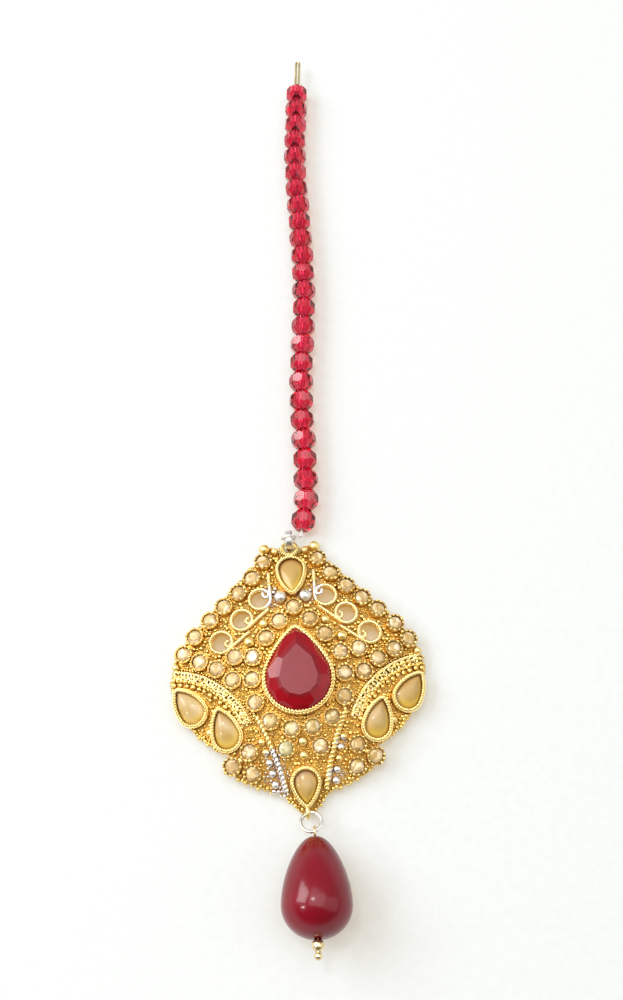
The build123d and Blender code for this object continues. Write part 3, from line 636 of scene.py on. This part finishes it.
rng = np.random.default_rng(7)
band_spots = []
for side, turned in (("right", lambda path: path), ("left", flipped)):
    dome_rope(f"band_wire_{side}", turned(arc_through(BAND_ARC, BAND_HALF)), BAND_ROPE, BAND_LIFT)
    radius, pitch, wire, lift = BAND_LOOPS
    loops, turn = looped_wire(turned(arc_through(BAND_ARC, LOOPS_SHIFT)), radius, pitch)
    points, out = on_dome(loops[:, 0], loops[:, 1], lift + LOOP_WAVE * np.sin(turn))
    points, faces = tube(points, out, wire, sides=7, closed=False)
    new_piece(f"band_loops_{side}", to_row(points), faces, pale_finish)
    for row, (shift, radius, spacing, lift, scatter) in enumerate(BAND_ROWS, 1):
        spots = evenly(turned(arc_through(BAND_ARC, shift)), spacing, False)
        spots += rng.uniform(-scatter, scatter, spots.shape)
        band_spots.append(np.column_stack([spots, np.full(len(spots), radius)]))
        centres, _ = on_dome(spots[:, 0], spots[:, 1], lift + rng.uniform(-scatter, scatter, len(spots)))
        radii = radius * rng.uniform(*GRAINS_DIFFER, len(spots))
        points, faces = many_balls(centres, radii, rings=5, sides=9)
        new_piece(f"band_grains_{side}_{row}", to_row(points), faces, grain_finish)
    dome_rope(f"tip_rope_{side}", turned(arc_through(ROPE_ARC)), TIP_ROPE, TIP_ROPE_LIFT)
    dome_rope(f"lobe_rim_{side}", turned(arc_through(LOBE_ARC)), BAND_ROPE, LOBE_RIM_LIFT)

# ---------------------------------------------------------------- round stones and their collars
# Round champagne stones are pressed into cups, each held by a collar of fine grains.
# Their colour carries painted light: stones grow darker away from the window, facets get painted glints,
# and a dark ring of painted shade lies round each stone's lip.

EDGE_STONES = (
    (4.25, 18.10), (6.12, 15.40), (8.30, 13.10), (10.62, 11.00),
    (12.82, 8.98), (15.25, 6.62), (17.05, 4.10),
)
FIELD_STONES = (
    (2.30, 7.85), (4.45, 5.35), (6.55, 2.45), (6.90, -0.85),
    (6.60, -4.35), (4.55, -7.20), (1.58, -8.50),
    (9.30, 2.85), (9.80, -0.70), (12.10, 1.20), (14.65, 2.60),
    (2.55, -11.30), (7.95, -11.30), (7.60, -14.40), (10.50, -13.10),
)
CENTRE_STONE = (0.0, 9.95)
ODD_STONES = (((-2.55, -11.30), 1.0), ((4.55, -7.20), 0.9), ((1.58, -8.50), 0.88), ((-1.58, -8.50), 0.9))
# Each stone's tone: a middle value, a chance scatter of its own, and painted light that falls off to the
# right.
TONE_AND_LIGHT_MIDDLE, TINT_SCATTER, TONE_AND_LIGHT_MOST = 0.36, 0.3, 0.75
PAINTED_LIGHT_FALL = 45              # mm to the right over which painted light falls by one, away from the window
STONE_R = 1.12
STONE_TILT = 0.05           # slope that a stone may lie at in its cup
TABLE_SPARKLE = (0.05, 0.85)
STONE_CROWN = 0.45
STONE_TABLE = 0.55          # radius of the table, as a share of the stone's
STONE_STAR = (0.80, 0.62)   # radius and height of the ring of facets round it, as shares
STONE_GIRDLE = 0.04         # half the height of its edge
STONE_BACK = 0.60
SEAT_GAP = 0.06
CUP_RISE = 0.95
COLLAR_R = 1.27
COLLAR_GRAINS = 11
COLLAR_GRAIN_R = 0.19
COLLAR_SCATTER = 0.09
COLLAR_UNEVEN = (0.65, 1.5)     # smallest and largest grain, as shares of the usual one
GROOVE = (1.17, 1.395, 0.97)    # inner and outer radius of a cup's lip painted dark as shade, and its height
LIP_DEPTH = 0.1
LIP_CORNERS = 20


def both_sides(places):
    """Each plan place and its twin on the left."""
    return np.array([(side * x, y) for x, y in places for side in (1, -1)])


def cut_stone():
    """Brilliant: an 8-sided table, star and main facets, a 16-sided girdle and a pointed back.
    Each ring is its radius times (cos, sin) of evenly spaced turns."""

    def ring(count, radius, z, start=0.0):
        a = np.linspace(0, tau, count, endpoint=False) + start
        return np.column_stack([radius * around(a), np.full(count, z)])

    step = tau / 16
    table = ring(8, STONE_R * STONE_TABLE, STONE_CROWN)
    star = ring(8, STONE_R * STONE_STAR[0], STONE_CROWN * STONE_STAR[1], step)
    rim = ring(16, STONE_R, STONE_GIRDLE)
    under = ring(16, STONE_R, -STONE_GIRDLE)
    points = np.vstack([table, star, rim, under, (0, 0, -STONE_BACK)])
    faces = [list(range(8))]
    for k in range(8):
        nxt = (k + 1) % 8
        t0, t1, s0, s9 = k, nxt, 8 + k, 8 + (k - 1) % 8
        r0, r1, r2 = 16 + 2 * k, 16 + 2 * k + 1, 16 + (2 * k + 2) % 16
        faces += [[t0, s0, t1], [t0, s9, r0, s0], [s0, r0, r1], [s0, r1, r2]]
    for k in range(16):
        nxt = (k + 1) % 16
        faces += [[32 + k, 32 + nxt, 16 + nxt, 16 + k], [32 + nxt, 32 + k, 48]]
    return points, faces


def set_stones(name, places, finish, node):
    """A cut stone in each cup, turned by chance, with a tone for each stone, partly its own and partly
    painted light, and a painted glint of chance brightness for each facet.
    """
    unit, unit_faces = cut_stone()
    parts = []
    for x, y in places:
        spin = rng.uniform(0, tau / 8)
        c, s = cos(spin), sin(spin)
        turned = np.stack([c * unit[:, 0] - s * unit[:, 1], s * unit[:, 0] + c * unit[:, 1]], axis=-1)
        lift = unit[:, 2] + STONE_BACK + SEAT_GAP + turned @ rng.uniform(-STONE_TILT, STONE_TILT, 2)
        parts.append((seat(x, y, 0.0, turned, lift)[0], unit_faces))
    points, faces = joined(parts)
    made = new_piece(name, to_row(points), faces, finish, smooth=False)
    # Painted light: stones grow darker to the right, away from the window; the scatter and the odd
    # stones are their own colours.
    scatter = rng.uniform(-TINT_SCATTER, TINT_SCATTER, len(places))
    tones_and_light = np.clip(TONE_AND_LIGHT_MIDDLE - places[:, 0] / PAINTED_LIGHT_FALL + scatter, 0, TONE_AND_LIGHT_MOST)
    for odd_place, odd_tint in ODD_STONES:
        tones_and_light[np.linalg.norm(places - odd_place, axis=1) < STONE_R] = odd_tint
    tone_and_light = np.repeat(tones_and_light, len(unit_faces))
    sparkle = rng.uniform(0, 1, len(faces))
    sparkle[::len(unit_faces)] = rng.uniform(*TABLE_SPARKLE, len(places))
    for label, values in (("tone_and_light", tone_and_light), ("sparkle", sparkle)):
        made.data.attributes.new(label, "FLOAT", "FACE").data.foreach_set("value", values)
    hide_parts(node)


def attribute(nodes, name):
    """Number that a mesh attribute holds."""
    node = nodes.new("ShaderNodeAttribute")
    node.attribute_name = name
    return node.outputs["Fac"]


def plain_metal(name, dark, light, roughness):
    """Polished wire, a little uneven in colour and with fine drawn marks."""
    material, nodes, links, shader = new_material(name)
    stain = object_noise(nodes, links, 700.0, 3.0)
    links.new(ramp(nodes, links, stain, ((0.3, dark), (0.7, light))), shader.inputs["Base Color"])
    shader.inputs["Metallic"].default_value = 1.0
    links.new(between(nodes, links, stain, 0.3, 0.7, roughness, roughness + 0.12),
              shader.inputs["Roughness"])
    bump(nodes, links, shader, object_noise(nodes, links, 6000.0, 3.0), 0.2, 0.00003)
    return material


champagne, nodes, links, shader = new_material("champagne_stone")
# Body colour by tone and painted light: dark at 0, pale at 0.75; 0.9 and 1.0 are the odd stones' own
# colours.
body_colour = ramp(nodes, links, attribute(nodes, "tone_and_light"), (
    (0.0, (0.48, 0.28, 0.06)), (0.4, (0.58, 0.38, 0.12)), (0.75, (0.72, 0.52, 0.27)),
    (0.9, (0.42, 0.32, 0.07)), (1.0, (0.34, 0.58, 0.34)),
))
# Painted glints: each facet gets a brightness by chance, up to near white.
inner = ramp(nodes, links, attribute(nodes, "sparkle"), (
    (0.0, (0.36, 0.20, 0.045)), (0.25, (0.52, 0.33, 0.11)), (0.55, (0.66, 0.48, 0.22)),
    (0.75, (0.84, 0.69, 0.42)), (1.0, (1.0, 0.94, 0.78)),
))
# Painted reflections: patches of light and dark, as the back facets seen through the table.
facets = nodes.new("ShaderNodeTexVoronoi")
facets.inputs["Scale"].default_value = 1250.0
links.new(nodes.new("ShaderNodeTexCoord").outputs["Object"], facets.inputs["Vector"])
through = nodes.new("ShaderNodeSeparateColor")
links.new(facets.outputs["Color"], through.inputs["Color"])
facet_reflections = ramp(nodes, links, through.outputs["Red"], (
    (0.0, (0.28, 0.14, 0.03)), (0.3, (0.46, 0.29, 0.09)), (0.6, (0.62, 0.45, 0.19)),
    (0.85, (0.92, 0.78, 0.54)), (1.0, (1.0, 0.92, 0.78)),
))
for glints in (inner, facet_reflections):
    body_colour = mix_colour(nodes, links, 0.5, body_colour, glints)
links.new(body_colour, shader.inputs["Base Color"])
shader.inputs["Metallic"].default_value = 0.12
polish(shader, 0.16, 1.45, coat=0.2, coat_roughness=0.04)

edge_places = both_sides(EDGE_STONES)
field_places = np.vstack([both_sides(FIELD_STONES), [CENTRE_STONE]])
set_stones("edge_rhinestones", edge_places, champagne, "edge_stones")
set_stones("field_rhinestones", field_places, champagne, "field_stones")

# A dark ring of painted shade lies round each stone, where it meets its collar.
lip_shade_finish = plain_metal("painted_shade_lip", (0.36, 0.18, 0.04), (0.56, 0.32, 0.08), 0.36)
circle = around(np.linspace(0, tau, LIP_CORNERS, endpoint=False))
inner, outer, lip = GROOVE
flat = np.vstack([inner * circle, inner * circle, outer * circle, outer * circle])
height = np.repeat([lip - LIP_DEPTH, lip, lip, lip - LIP_DEPTH], LIP_CORNERS)
for name, places in (("edge_lips", edge_places), ("field_lips", field_places)):
    lips = [(seat(x, y, 0.0, flat, height)[0], grid_faces(4, LIP_CORNERS)) for x, y in places]
    points, faces = joined(lips)
    new_piece(name, to_row(points), faces, lip_shade_finish, smooth=False)

turns = np.linspace(0, tau, COLLAR_GRAINS, endpoint=False)
rises = np.full(COLLAR_GRAINS, CUP_RISE)
for name, places in (("edge_collars", edge_places), ("field_collars", field_places)):
    collars = []
    for x, y in places:
        collar, _ = seat(x, y, 0.0, COLLAR_R * around(turns + rng.uniform(0, tau)), rises)
        collars.append(collar)
    centres = np.concatenate(collars)
    centres += rng.uniform(-COLLAR_SCATTER, COLLAR_SCATTER, centres.shape)
    points, faces = many_balls(centres, COLLAR_GRAIN_R * rng.uniform(*COLLAR_UNEVEN, len(centres)))
    new_piece(name, to_row(points), faces, grain_finish)

# ---------------------------------------------------------------- granulation on the bare plate
# Wherever the plate is bare, fine grains are fused to it close together, so that little of the
# flat metal shows and the pierced gaps look ragged.

GRAIN_FIELD = 21.5          # half the width of the ground that is tried
GRAIN_JITTER = 0.10         # how far a coarse grain strays; a fine one less, as its spacing
GRAIN_LIFT = 0.55           # a grain's centre over the plate, as a share of its radius
COARSE_GRAINS = (0.62, 0.92, 0.19, 0.40)   # spacing, share of the places filled, radii from and to
FINE_GRAINS = (0.33, 1.0, 0.12, 0.20)      # these fill what the coarse ones leave bare
RIM_REACHES = (1.1, 1.7)    # there is metal this far outside a place that isn't past the rim
PROBES = (0.5, 1.8, 3.1, 4.4, 5.7)  # turns round a grain at which its ground is tried
RAY_START = 6.0             # over the dome
RAY_LENGTH = 10.0
EYE_CLEAR = 1.75            # nearer than this to a scroll's eye there are none
GRAIN_NEAR = 0.7            # a wall may come this share of its radius into a grain
BARE = 0.08                 # a hit this near the dome is bare plate
OVERLAP = -0.05             # how far two grains may run into each other


def plate_height(x, y):
    """Height over the dome of the metal at a plan place, or None over a gap: a ray is shot
    inwards along the dome's normal."""
    start, out = on_dome(x, y, RAY_START)
    turned = to_row(out) - PENDANT
    hit, place, _, _ = mount.ray_cast(Vector(to_row(start) * MM), Vector(-turned),
                                      distance=RAY_LENGTH * MM)
    if not hit:
        return None
    return (Vector(place) / MM - Vector(to_row((0.0, 0.0, DOME_CENTRE_Z)))).length - DOME_R


def inside_rim(x, y):
    """True where there is metal a little further out from the pendant's centre."""
    out = np.array([x, y]) / hypot(x, y)
    return any(plate_height(*(np.array([x, y]) + out * reach)) is not None for reach in RIM_REACHES)


def staggered(spacing):
    """Plan places over the whole pendant in rows whose places are `spacing` apart all round: the
    rows are half the root of 3 of that apart, and every other one is shifted by half of it."""
    across, down = np.meshgrid(np.arange(-GRAIN_FIELD, GRAIN_FIELD, spacing),
                               np.arange(-GRAIN_FIELD, GRAIN_FIELD, spacing * sqrt(3) / 2))
    across[1::2] += spacing / 2
    return np.stack([across, down], axis=-1).reshape(-1, 2)


def off_eyes(places):
    """The places that are clear of the scrolls' open eyes."""
    return places[np.linalg.norm(places[:, None] - eyes, axis=-1).min(axis=1) > EYE_CLEAR]


def lies_bare(x, y, radius):
    """True where a grain has bare plate under it and no wall too near."""
    near = radius * GRAIN_NEAR
    under = [plate_height(x, y)]
    under += [plate_height(x + near * cos(a), y + near * sin(a)) for a in PROBES]
    found = [height for height in under if height is not None]
    return len(found) > 1 and max(found) < BARE and (under[0] is not None or inside_rim(x, y))


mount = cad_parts["pendant_mount"]
eyes = both_sides([row[:2] for row in SCROLLS])
taken = np.concatenate(band_spots)
for name, (spacing, filled, small, large) in (("coarse", COARSE_GRAINS), ("fine", FINE_GRAINS)):
    places = staggered(spacing)
    places += rng.uniform(-GRAIN_JITTER, GRAIN_JITTER, places.shape) * spacing / COARSE_GRAINS[0]
    places = off_eyes(places[rng.uniform(0, 1, len(places)) < filled])
    radii = rng.uniform(small, large, len(places))
    distance = np.linalg.norm(places[:, None] - taken[None, :, :2], axis=-1)
    apart = (distance - taken[:, 2] - radii[:, None]).min(axis=1)
    clear = np.flatnonzero(apart > OVERLAP)
    kept = [index for index in clear if lies_bare(*places[index], radii[index])]
    centres, _ = on_dome(places[kept, 0], places[kept, 1], radii[kept] * GRAIN_LIFT)
    points, faces = many_balls(centres, radii[kept], rings=3, sides=6)
    new_piece(f"{name}_granulation", to_row(points), faces, grain_finish)
    taken = np.vstack([taken, np.column_stack([places[kept], radii[kept]])])

# Small wire rings are soldered edge to edge across the pierced gaps, a little below the face.

LACE_PITCH = 0.62
LACE_R = 0.29
LACE_WIRE = 0.105
LACE_DEPTH = -0.16
LACE_SCATTER = (0.1, 0.08)  # in plan, and up or down
LACE_CORNERS = 10

spots = off_eyes(staggered(LACE_PITCH))
spots += rng.uniform(-LACE_SCATTER[0], LACE_SCATTER[0], spots.shape)
over_gap = [plate_height(x, y) is None and inside_rim(x, y) for x, y in spots]
round_it = LACE_R * around(np.linspace(0, tau, LACE_CORNERS, endpoint=False))
rings = []
for x, y in spots[over_gap]:
    depth = LACE_DEPTH + rng.uniform(-LACE_SCATTER[1], LACE_SCATTER[1])
    path, out = seat(x, y, 0.0, round_it, np.full(LACE_CORNERS, depth))
    rings.append(tube(path, out, LACE_WIRE, sides=5, closed=True))
points, faces = joined(rings)
new_piece("gap_lace", to_row(points), faces, grain_finish)

# ---------------------------------------------------------------- pear cabochons
# Milky champagne glass with a low polished dome and a pale cloudy middle. The rim is painted dark as
# the shade inside the bezel, and a painted amber glow lies on the side away from the window.

CABOCHON_GIRDLE = 0.50
CABOCHON_TOP = 1.12
CABOCHON_EDGE = (1.0, 1.0, 0.985)   # reaches of its foot, its girdle and the ring above that
CABOCHON_DOME = (0.95, 0.06, 14)    # reaches of the dome's first and last ring, and their number
CABOCHON_INSET = -0.10      # the stone is a little smaller than its bezel
CABOCHON_SPACING = 0.16     # between the outline's points
CABOCHON_MIDDLE = 0.38      # where the dome's middle lies, as a share of the way to the tip
PEAR_LIFT = 0.31            # over the dome: the seat's floor and a small gap
CABOCHON_HAZE_AND_LIGHT = {"top": 0.10, "bottom": 0.20, "right_outer": 0.15, "right_inner": 0.25,
                 "left_outer": 0.70, "left_inner": 0.40}   # how cloudy each stone's glass is, set per stone partly as painted light and shade
AMBER_GLOW_SIDE = (0.16, -0.30)  # the way a painted amber glow grows across the stone, away from the window, to the millimetre

milky, nodes, links, shader = new_material("milky_cabochon")
# Painted shadow: the rim darkens, as the shade inside the bezel.
rosy = ramp(nodes, links, attribute(nodes, "reach"), (
    (0.0, (0.45, 0.285, 0.09)), (0.75, (0.42, 0.245, 0.06)),
    (0.90, (0.28, 0.13, 0.025)), (1.0, (0.18, 0.07, 0.01)),
))
# Painted light: a bright amber band near the rim, on the side away from the window; the very edge is
# painted shadow.
amber_glow = ramp(nodes, links, attribute(nodes, "reach"), (
    (0.0, (0.44, 0.285, 0.06)), (0.55, (0.44, 0.275, 0.035)),
    (0.82, (0.66, 0.42, 0.04)), (1.0, (0.32, 0.15, 0.015)),
))
middle = mix_colour(nodes, links, attribute(nodes, "amber_glow"), rosy, amber_glow)
cloud = ramp(nodes, links, object_noise(nodes, links, 500.0, 4.0),
             ((0.35, (0.52, 0.36, 0.15)), (0.65, (0.66, 0.53, 0.36))))
links.new(mix_colour(nodes, links, attribute(nodes, "haze_and_light"), middle, cloud), shader.inputs["Base Color"])
polish(shader, 0.26, 1.45, coat=0.25, coat_roughness=0.06)


def cabochon(pear):
    """Pear outline drawn in towards a middle point: (u, v) is the middle plus a share of the
    outline's reach, and the dome's height falls with the square of that share."""
    outline = evenly(pear_outline(pear, CABOCHON_INSET), CABOCHON_SPACING, True)
    middle = np.array([pear[2] * CABOCHON_MIDDLE, 0.0])
    share = np.concatenate([CABOCHON_EDGE, np.linspace(*CABOCHON_DOME)])
    height = CABOCHON_GIRDLE + (CABOCHON_TOP - CABOCHON_GIRDLE) * (1 - share**2)
    height[0] = 0.0
    flat = middle + share[:, None, None] * (outline - middle)
    heights = np.broadcast_to(height[:, None], flat.shape[:2])
    count = len(outline)
    faces = grid_faces(len(share), count)
    last = (len(share) - 1) * count
    faces += [list(range(count))[::-1], list(range(last, last + count))]
    return flat.reshape(-1, 2), heights.reshape(-1), np.repeat(share, count), faces


for name, x, y, turn, pear, rise in PEARS[1:]:
    flat, height, reach, faces = cabochon(pear)
    points, _ = seat(x, y, turn, flat, height + PEAR_LIFT)
    made = new_piece(f"{name}_cabochon", to_row(points), faces, milky)
    # Cloudiness that is partly the glass's own and partly painted light and shade, set per stone.
    haze_and_light = np.full(len(reach), CABOCHON_HAZE_AND_LIGHT[name]) * (1 - reach**4)
    # Painted glow: the share of amber grows towards the side away from the window.
    off_centre = to_row(points)[:, :2] - to_row(points)[:, :2].mean(axis=0)
    amber_glow_share = np.clip(0.5 + off_centre @ AMBER_GLOW_SIDE, 0, 1)
    for label, values in (("reach", reach), ("haze_and_light", haze_and_light), ("amber_glow", amber_glow_share)):
        made.data.attributes.new(label, "FLOAT", "POINT").data.foreach_set("value", values)
    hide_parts(f"cabochon_{name}")

# ---------------------------------------------------------------- large red stone
# Pressed glass, cut as a pear with a big table, dyed deep red and hazy on top.

HAZE_HEIGHTS = (6.55 * MM, 6.75 * MM)   # the haze begins and is full this high over the surface

ruby_glass, nodes, links, shader = new_material("ruby_glass_cut")
deep = ramp(nodes, links, object_noise(nodes, links, 160.0, 2.0),
            ((0.3, (0.235, 0.001, 0.005)), (0.7, (0.29, 0.001, 0.008))))
scuffs = ramp(nodes, links, object_noise(nodes, links, 700.0, 4.0),
              ((0.3, (0.195, 0.004, 0.009)), (0.7, (0.218, 0.008, 0.016))))
height = nodes.new("ShaderNodeSeparateXYZ")
links.new(nodes.new("ShaderNodeTexCoord").outputs["Object"], height.inputs["Vector"])
on_table = between(nodes, links, height.outputs["Z"], *HAZE_HEIGHTS)
links.new(mix_colour(nodes, links, on_table, deep, scuffs), shader.inputs["Base Color"])
links.new(between(nodes, links, height.outputs["Z"], *HAZE_HEIGHTS, 0.10, 0.22),
          shader.inputs["Roughness"])
shader.inputs["IOR"].default_value = 1.44
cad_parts["ruby_stone"].material_slots[0].material = ruby_glass

# ---------------------------------------------------------------- bead string
# Faceted glass beads, drilled and strung on clear thread. The glass is see-through red.

BEAD_TINT = (0.94, 0.0, 0.33)
BEAD_DEPTH = 800.0          # to the metre: red deepens with the thickness of the glass

bead_glass, nodes, links, shader = new_material("red_bead_glass")
links.new(ramp(nodes, links, object_noise(nodes, links, 60.0, 1.0),
               ((0.35, (0.97, 0.36, 0.46)), (0.65, (0.99, 0.44, 0.54)))), shader.inputs["Base Color"])
polish(shader, 0.03, 1.56)
shader.inputs["Transmission Weight"].default_value = 1.0
depth = nodes.new("ShaderNodeVolumeAbsorption")
depth.inputs["Color"].default_value = (*BEAD_TINT, 1.0)
depth.inputs["Density"].default_value = BEAD_DEPTH
links.new(depth.outputs["Volume"], nodes["Material Output"].inputs["Volume"])
for name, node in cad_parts.items():
    if name.startswith("bead_") and name != "bead_thread":
        node.material_slots[0].material = bead_glass

thread, nodes, links, shader = new_material("clear_thread")
links.new(ramp(nodes, links, object_noise(nodes, links, 2500.0, 2.0),
               ((0.3, (0.93, 0.92, 0.90)), (0.7, (0.99, 0.98, 0.97)))), shader.inputs["Base Color"])
shader.inputs["Roughness"].default_value = 0.35
shader.inputs["Transmission Weight"].default_value = 0.6
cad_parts["bead_thread"].material_slots[0].material = thread

# ---------------------------------------------------------------- rings and wires
# Silver-plated rings join the pendant to the thread and to the drop. The hair loop and the
# drop's pin are pale gilt wire.

silver = plain_metal("silver_wire_polished", (0.66, 0.64, 0.60), (0.88, 0.86, 0.82), 0.24)
pale_gilt = plain_metal("pale_gilt_polished", (0.78, 0.62, 0.34), (0.95, 0.82, 0.52), 0.18)
for name in ("top_ring", "drop_ring"):
    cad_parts[name].material_slots[0].material = silver
for name in ("hair_loop", "drop_pin", "drop_end_bead"):
    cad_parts[name].material_slots[0].material = pale_gilt

# A thin gilt wire is wound tightly round the half of the top eye that is soldered to the plate.

TOP_EYE = (0.0, 19.95)
TOP_EYE_LIFT = 0.75
TOP_EYE_R = 1.22
WRAP_R = 0.43               # from the middle of the eye's wire to the middle of the wrap
WRAP_WIRE = 0.12
WRAP_TURNS = 14
WRAP_STEPS = 12
WRAP_SPAN = (radians(172), radians(368))   # round the eye

share = np.linspace(0, 1, WRAP_TURNS * WRAP_STEPS)
round_eye = WRAP_SPAN[0] + share * (WRAP_SPAN[1] - WRAP_SPAN[0])
round_wire = tau * WRAP_TURNS * share
direction = around(round_eye)
flat = (TOP_EYE_R + WRAP_R * np.cos(round_wire))[:, None] * direction
path, _ = seat(*TOP_EYE, 0.0, flat, TOP_EYE_LIFT + WRAP_R * np.sin(round_wire))
onward = np.stack([-direction[:, 1], direction[:, 0]], axis=-1)
beside, _ = seat(*TOP_EYE, 0.0, flat + onward, TOP_EYE_LIFT + WRAP_R * np.sin(round_wire))
points, faces = tube(path, beside - path, WRAP_WIRE, sides=6, closed=False)
new_piece("top_eye_wrap", to_row(points), faces, grain_finish)

# ---------------------------------------------------------------- drop
# A glossy teardrop of deep red glass.

drop_glass, nodes, links, shader = new_material("deep_red_glass")
links.new(ramp(nodes, links, object_noise(nodes, links, 90.0, 2.0),
               ((0.35, (0.14, 0.001, 0.006)), (0.65, (0.185, 0.001, 0.010)))),
          shader.inputs["Base Color"])
polish(shader, 0.22, 1.38, coat=0.2, coat_roughness=0.08)
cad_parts["drop_bead"].material_slots[0].material = drop_glass
